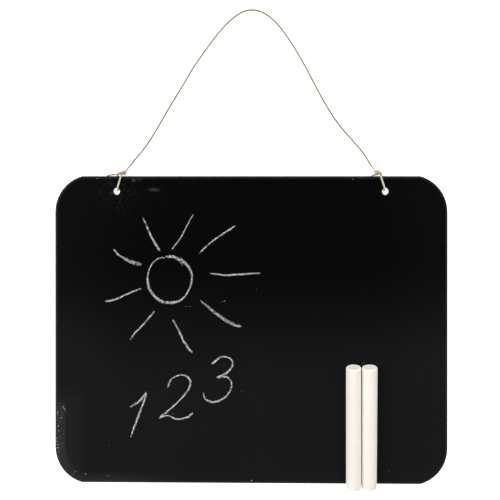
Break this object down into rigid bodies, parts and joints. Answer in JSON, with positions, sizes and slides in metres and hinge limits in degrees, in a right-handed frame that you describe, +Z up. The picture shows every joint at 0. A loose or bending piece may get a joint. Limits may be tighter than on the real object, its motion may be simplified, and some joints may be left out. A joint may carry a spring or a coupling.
{
  "type": "wall chalkboard",
  "caption": "Small hanging chalkboard: thin black panel with rounded corners, a slack cord tied through two holes, and chalk sticks lying on it.",
  "frame": {"origin": "under the middle of the board, on the surface that it lies on", "axes": "+X to the right across the board, +Y towards its top edge and the cord, +Z up out of the writing face"},
  "size_m": [0.265, 0.3218, 0.0141],
  "materials": {
    "board": "matt black chalkboard coat on thin hardboard",
    "cord": "thin twisted natural cord",
    "chalk": "pressed white school chalk, dry and matt"
  },
  "bodies": {
    "board": {"board_panel": "board", "left_tie_knot": "cord", "right_tie_knot": "cord"},
    "cord": {"hanging_cord": "cord"},
    "chalk_left": {"chalk_stick_left": "chalk"},
    "chalk_right": {"chalk_stick_right": "chalk"}
  },
  "joints": [
    {"name": "cord_swing", "type": "hinge", "parent": "board", "child": "cord", "pos_m": [0, 0.11015, 0.0016], "axis": [1, 0, 0], "range_deg": [0, 135]},
    {"name": "chalk_left_lift", "type": "slide", "parent": "board", "child": "chalk_left", "axis": [0, 0, 1], "range_m": [0, 0.1]},
    {"name": "chalk_right_lift", "type": "slide", "parent": "board", "child": "chalk_right", "axis": [0, 0, 1], "range_m": [0, 0.1]}
  ]
}
